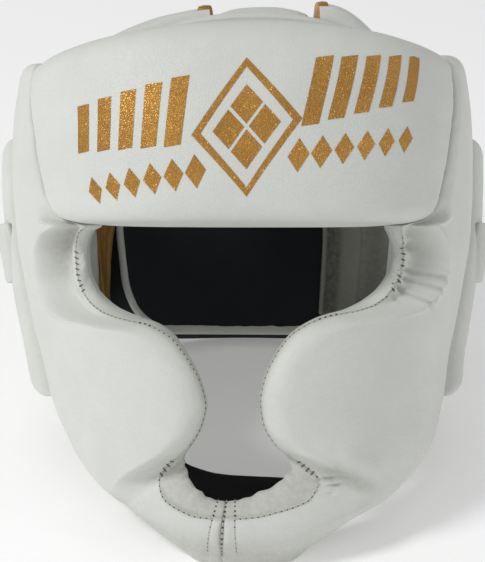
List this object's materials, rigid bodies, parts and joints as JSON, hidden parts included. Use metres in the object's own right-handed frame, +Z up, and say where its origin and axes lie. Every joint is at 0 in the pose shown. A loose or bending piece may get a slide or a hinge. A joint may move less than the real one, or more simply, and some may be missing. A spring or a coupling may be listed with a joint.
{
  "type": "boxing headgear",
  "caption": "Padded leather boxing headgear with forehead, cheek and ear pads, a chin bar, a crown, a back pad, closure straps and a chin strap.",
  "frame": {"origin": "centre of the footprint at the table's level", "axes": "-Y is the way that the face opening points, +X is the wearer's left, +Z is up, with the guard leaning back at rest"},
  "size_m": [0.2658, 0.3102, 0.2441],
  "materials": {
    "white_leather": "soft satin grain",
    "grey_leather": "soft satin grain",
    "gold_binding": "dull metallic grain",
    "black_fabric": "matte knit",
    "black_webbing": "woven, matte"
  },
  "bodies": {
    "root": {"forehead_pad": "white_leather", "cheek_pad_left": "white_leather", "cheek_pad_right": "white_leather", "ear_panel_left": "white_leather", "ear_panel_right": "white_leather", "ear_binding_left": "gold_binding", "back_pad": "white_leather", "back_lining": "black_fabric", "back_binding": "white_leather", "rear_wing_left": "white_leather", "rear_wing_right": "grey_leather", "closure_strap_right": "white_leather", "closure_strap_left": "white_leather", "crown_centre_pad": "white_leather", "crown_panel_left": "white_leather", "crown_panel_right": "white_leather", "crown_binding_left": "gold_binding", "crown_binding_right": "gold_binding", "chin_strap": "black_webbing"}
  },
  "joints": []
}
